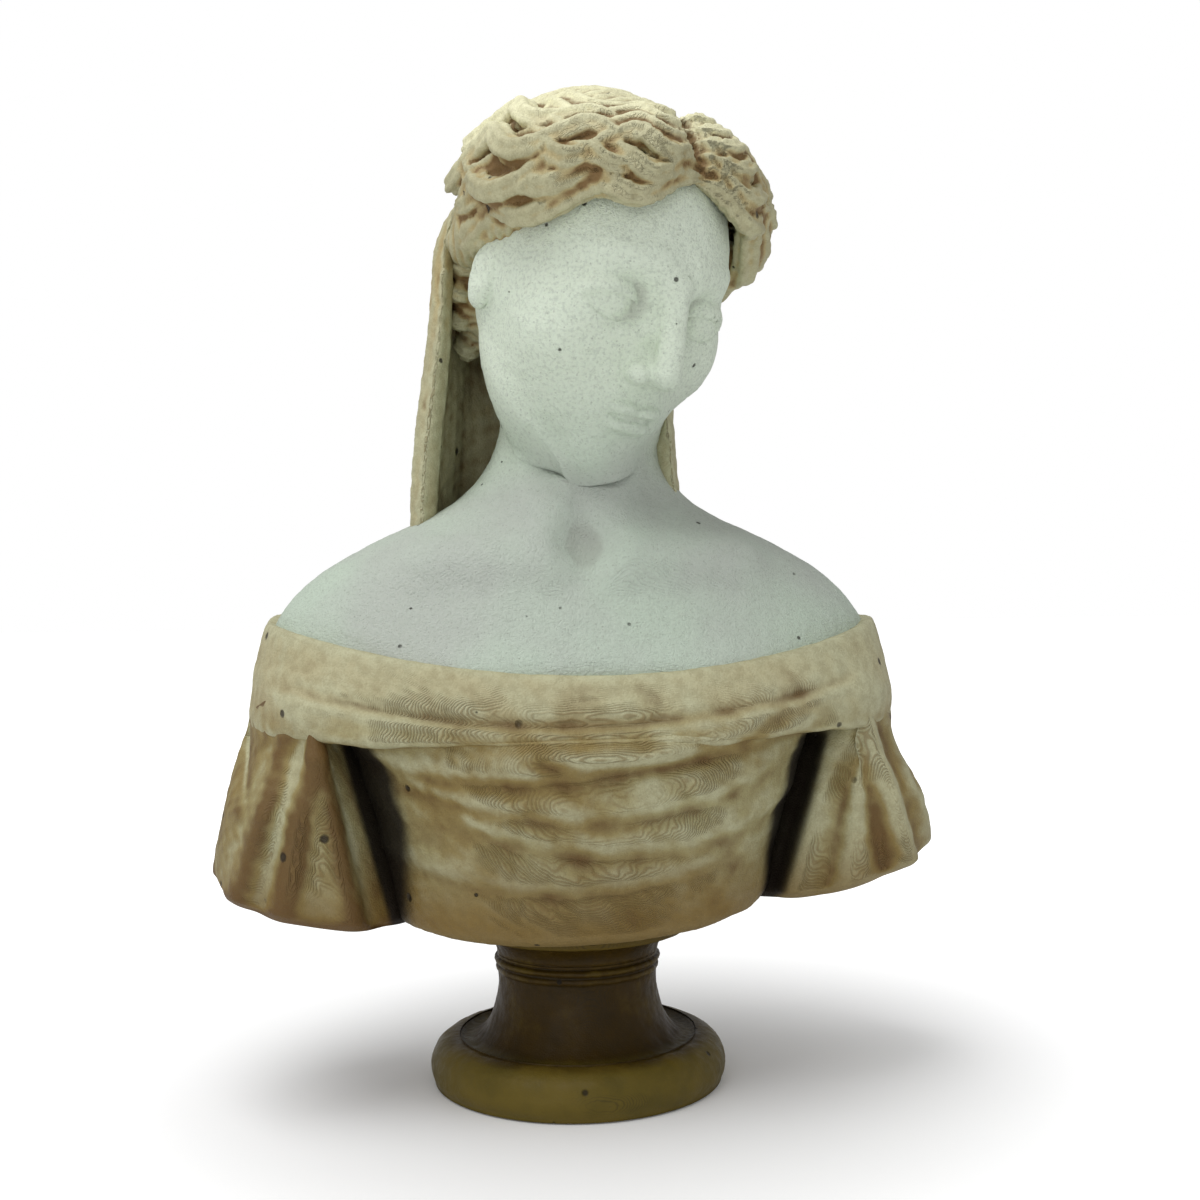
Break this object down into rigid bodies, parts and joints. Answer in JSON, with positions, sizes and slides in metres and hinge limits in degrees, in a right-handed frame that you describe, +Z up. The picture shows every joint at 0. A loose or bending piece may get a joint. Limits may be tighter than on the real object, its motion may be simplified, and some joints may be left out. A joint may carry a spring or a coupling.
{
  "type": "marble bust on a turned socle",
  "caption": "Draped bust of a young woman with waved hair, a veil and an off-the-shoulder dress, standing on a turned round socle.",
  "frame": {"origin": "centre of the round foot's resting face, on the socle's turning axis", "axes": "+Z up along the socle's axis, -Y the way the chest faces, +X towards the bust's own left shoulder"},
  "size_m": [0.163, 0.0895, 0.225],
  "materials": {
    "flesh_marble": "chalky honed",
    "honey_marble": "honed with a brown wash in the hollows",
    "socle_marble": "waxed",
    "felt": "napped",
    "steel": "plain",
    "brass": "plain"
  },
  "bodies": {
    "root": {"head_and_shoulders": "flesh_marble", "hair_front": "honey_marble", "chignon": "honey_marble", "veil": "honey_marble", "bodice": "honey_marble", "sleeve_right": "honey_marble", "sleeve_left": "honey_marble", "socle": "socle_marble", "felt_pad": "felt", "threaded_rod": "steel", "rod_socket": "brass", "washer": "steel", "spring_washer": "steel", "nut": "steel", "sleeve_dowels": "steel", "veil_dowels": "steel", "hair_dowel": "steel"}
  },
  "joints": []
}
